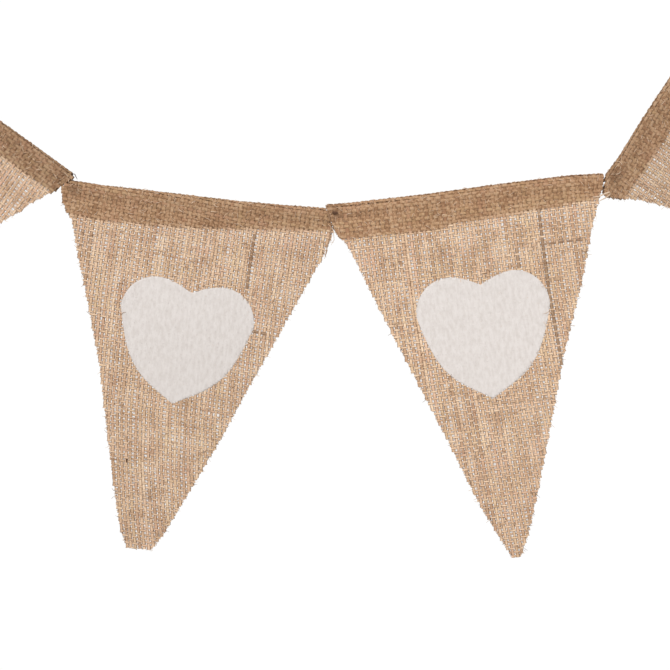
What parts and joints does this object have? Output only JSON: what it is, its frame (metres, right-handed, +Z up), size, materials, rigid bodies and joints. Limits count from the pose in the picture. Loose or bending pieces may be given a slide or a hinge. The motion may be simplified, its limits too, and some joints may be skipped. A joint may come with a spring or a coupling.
{
  "type": "burlap heart bunting",
  "caption": "Hanging garland of triangular raw-edged hessian pennants with printed white hearts, their tops folded over a jute string that sags between end loops.",
  "frame": {"origin": "middle of the hook that the left end loop hangs on", "axes": "+X along the garland from the left loop to the right, +Z up, and the printed faces of the cloth look along -Y"},
  "size_m": [0.6503, 0.0071, 0.3285],
  "materials": {
    "burlap": "open plain weave of natural jute yarn, unbleached, with raw cut sides",
    "jute_string": "twisted jute string, a little hairy"
  },
  "bodies": {
    "root": {"pennant_1": "burlap", "pennant_2": "burlap", "pennant_3": "burlap", "pennant_4": "burlap", "string": "jute_string"}
  },
  "joints": []
}
